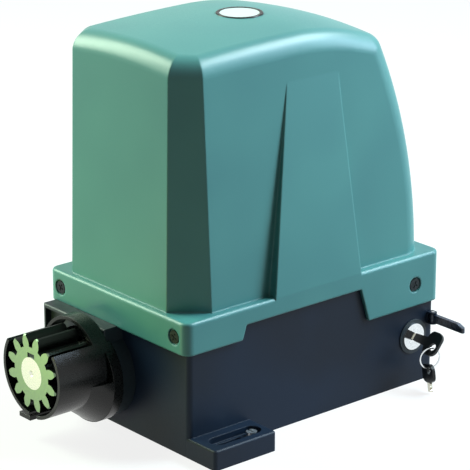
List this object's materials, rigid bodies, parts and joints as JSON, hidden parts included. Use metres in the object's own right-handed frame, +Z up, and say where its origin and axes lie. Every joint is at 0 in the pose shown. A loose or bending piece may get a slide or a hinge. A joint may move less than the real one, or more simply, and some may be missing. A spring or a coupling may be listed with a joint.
{
  "type": "sliding gate motor",
  "caption": "Sliding gate motor with a moulded cover on a cast base, a guarded drive pinion, a worm drive inside, and a key lock with a fold-out release lever.",
  "frame": {"origin": "middle of the base casting's underside (side feet, rear lug and cover not counted)", "axes": "+Z up, -Y towards the drive pinion, +X towards the lock and release lever"},
  "size_m": [0.2192, 0.3296, 0.2915],
  "materials": {
    "housing_paint": "satin",
    "cover_plastic": "satin",
    "black_plastic": "matte",
    "dark_plastic": "matte",
    "white_plastic": "gloss",
    "seal_rubber": "matte",
    "steel": "satin",
    "dark_steel": "satin",
    "pinion_steel": "satin",
    "chrome": "gloss",
    "bronze": "satin",
    "cast_aluminium": "satin",
    "stator_iron": "matte",
    "copper_windings": "satin",
    "board_green": "matte",
    "terminal_green": "matte",
    "fan_plastic": "matte"
  },
  "bodies": {
    "chassis": {"base_housing": "housing_paint", "gearbox_lid": "cast_aluminium", "lid_screws": "steel", "cover": "cover_plastic", "cover_seal": "seal_rubber", "cover_screws": "dark_steel", "badge_disc": "white_plastic", "badge_ring": "black_plastic", "pinion_guard": "black_plastic", "guard_screws": "dark_steel", "limit_switch_housing": "dark_plastic", "output_seal": "seal_rubber", "stator_core": "stator_iron", "stator_windings": "copper_windings", "lower_endbell": "cast_aluminium", "upper_endbell": "cast_aluminium", "bearing_outer_rings": "steel", "control_board": "board_green", "board_bracket": "dark_plastic", "transformer": "stator_iron", "run_capacitor": "white_plastic", "capacitor_clip": "steel", "terminal_blocks": "terminal_green", "relays": "black_plastic", "lever_bracket": "dark_steel", "lever_pin": "steel", "lock_bezel": "black_plastic", "lock_barrel": "chrome", "lock_nut": "steel", "cable_grommet": "seal_rubber", "levelling_screws": "steel"},
    "output": {"output_shaft": "steel", "drive_pinion": "pinion_steel", "pinion_key": "steel", "output_inner_rings": "steel", "worm_wheel": "bronze"},
    "clutch": {"clutch_sleeve": "steel"},
    "fork": {"shift_fork": "cast_aluminium", "release_rod": "steel"},
    "rotor": {"worm_shaft": "steel", "rotor_core": "stator_iron", "cooling_fan": "fan_plastic", "rotor_inner_rings": "steel"},
    "lever": {"release_lever": "dark_steel"},
    "lock_key": {"lock_plug": "chrome", "lock_cam": "steel", "key_blade": "chrome", "key_bow": "black_plastic"},
    "ring": {"key_ring": "chrome"},
    "spare_key": {"spare_key_blade": "chrome", "spare_key_bow": "black_plastic"}
  },
  "joints": [
    {"name": "output_spin", "type": "hinge", "parent": "chassis", "child": "output", "pos_m": [-0.018, -0.12025, 0.0535], "axis": [0, 1, 0], "continuous": true},
    {"name": "motor_spin", "type": "hinge", "parent": "chassis", "child": "rotor", "pos_m": [0.018, -0.04225, 0.098], "axis": [0, 0, 1], "continuous": true},
    {"name": "release_lever", "type": "hinge", "parent": "chassis", "child": "lever", "pos_m": [0.0807, 0.11635, 0.0496], "axis": [0, 0, 1], "range_deg": [-90, 0]},
    {"name": "clutch_slide", "type": "slide", "parent": "output", "child": "clutch", "axis": [0, 1, 0], "range_m": [-0.005, 0]},
    {"name": "fork_slide", "type": "slide", "parent": "chassis", "child": "fork", "axis": [0, 1, 0], "range_m": [-0.005, 0]},
    {"name": "key_turn", "type": "hinge", "parent": "chassis", "child": "lock_key", "pos_m": [0.0788, 0.09875, 0.038], "axis": [1, 0, 0], "range_deg": [-90, 0]},
    {"name": "key_ring_swing", "type": "hinge", "parent": "lock_key", "child": "ring", "pos_m": [0.09995, 0.09486, 0.03596], "axis": [0.9397, -0.342, 0], "range_deg": [-30, 25]},
    {"name": "spare_key_swing", "type": "hinge", "parent": "ring", "child": "spare_key", "pos_m": [0.09995, 0.09486, 0.01996], "axis": [0.342, 0.9397, 0], "range_deg": [-30, 30]}
  ],
  "couplings": [
    {"joint": "motor_spin", "follows": "output_spin", "ratio": 30},
    {"joint": "clutch_slide", "follows": "fork_slide", "ratio": 1},
    {"joint": "release_lever", "follows": "fork_slide", "rad_per_m": 314.16}
  ]
}
